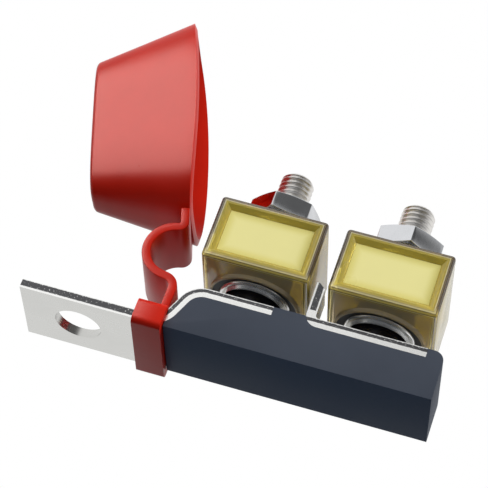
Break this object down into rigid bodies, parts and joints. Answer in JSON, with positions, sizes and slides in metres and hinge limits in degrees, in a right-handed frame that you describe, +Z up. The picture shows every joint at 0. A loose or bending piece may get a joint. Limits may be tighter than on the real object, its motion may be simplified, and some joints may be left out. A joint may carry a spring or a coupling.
{
  "type": "terminal fuse block",
  "caption": "Dual terminal fuse block: cube fuses on studs over a ring-tab bus bar, with a hinged red rubber boot.",
  "frame": {"origin": "centre of the battery hole, on the underside of the tab", "axes": "+X along the bar from the tab to the fuses, +Z up along the studs"},
  "size_m": [0.1021, 0.032, 0.0853],
  "materials": {
    "base_plastic": "satin moulded",
    "plated_bar": "tin plated copper",
    "plated_steel": "bright zinc plate",
    "silver_contact": "polished silver plate",
    "black_seal": "satin",
    "amber_housing": "translucent amber",
    "window_plastic": "pale translucent",
    "core_ceramic": "unglazed white",
    "element_metal": "bright strip",
    "red_rubber": "satin soft"
  },
  "bodies": {
    "block": {"base_body": "base_plastic", "bus_bar": "plated_bar", "stud_1": "plated_steel", "stud_2": "plated_steel", "contact_lower_1": "silver_contact", "contact_lower_2": "silver_contact", "seal_lower_1": "black_seal", "seal_lower_2": "black_seal", "fuse_housing_1": "amber_housing", "fuse_housing_2": "amber_housing", "fuse_window_1": "window_plastic", "fuse_window_2": "window_plastic", "fuse_core_1": "core_ceramic", "fuse_core_2": "core_ceramic", "fuse_element_1": "element_metal", "fuse_element_2": "element_metal", "contact_upper_1": "silver_contact", "contact_upper_2": "silver_contact", "seal_upper_1": "black_seal", "seal_upper_2": "black_seal", "washer_1": "plated_steel", "washer_2": "plated_steel", "lock_washer_1": "plated_steel", "lock_washer_2": "plated_steel", "nut_1": "plated_steel", "nut_2": "plated_steel", "boot_collar": "red_rubber", "boot_strap": "red_rubber"},
    "cap": {"boot_cap": "red_rubber"}
  },
  "joints": [
    {"name": "cap_fold", "type": "hinge", "parent": "block", "child": "cap", "pos_m": [0.02257, 0, 0.03177], "axis": [0, 1, 0], "range_deg": [-15, 107.2], "deforming": ["boot_strap"]}
  ]
}
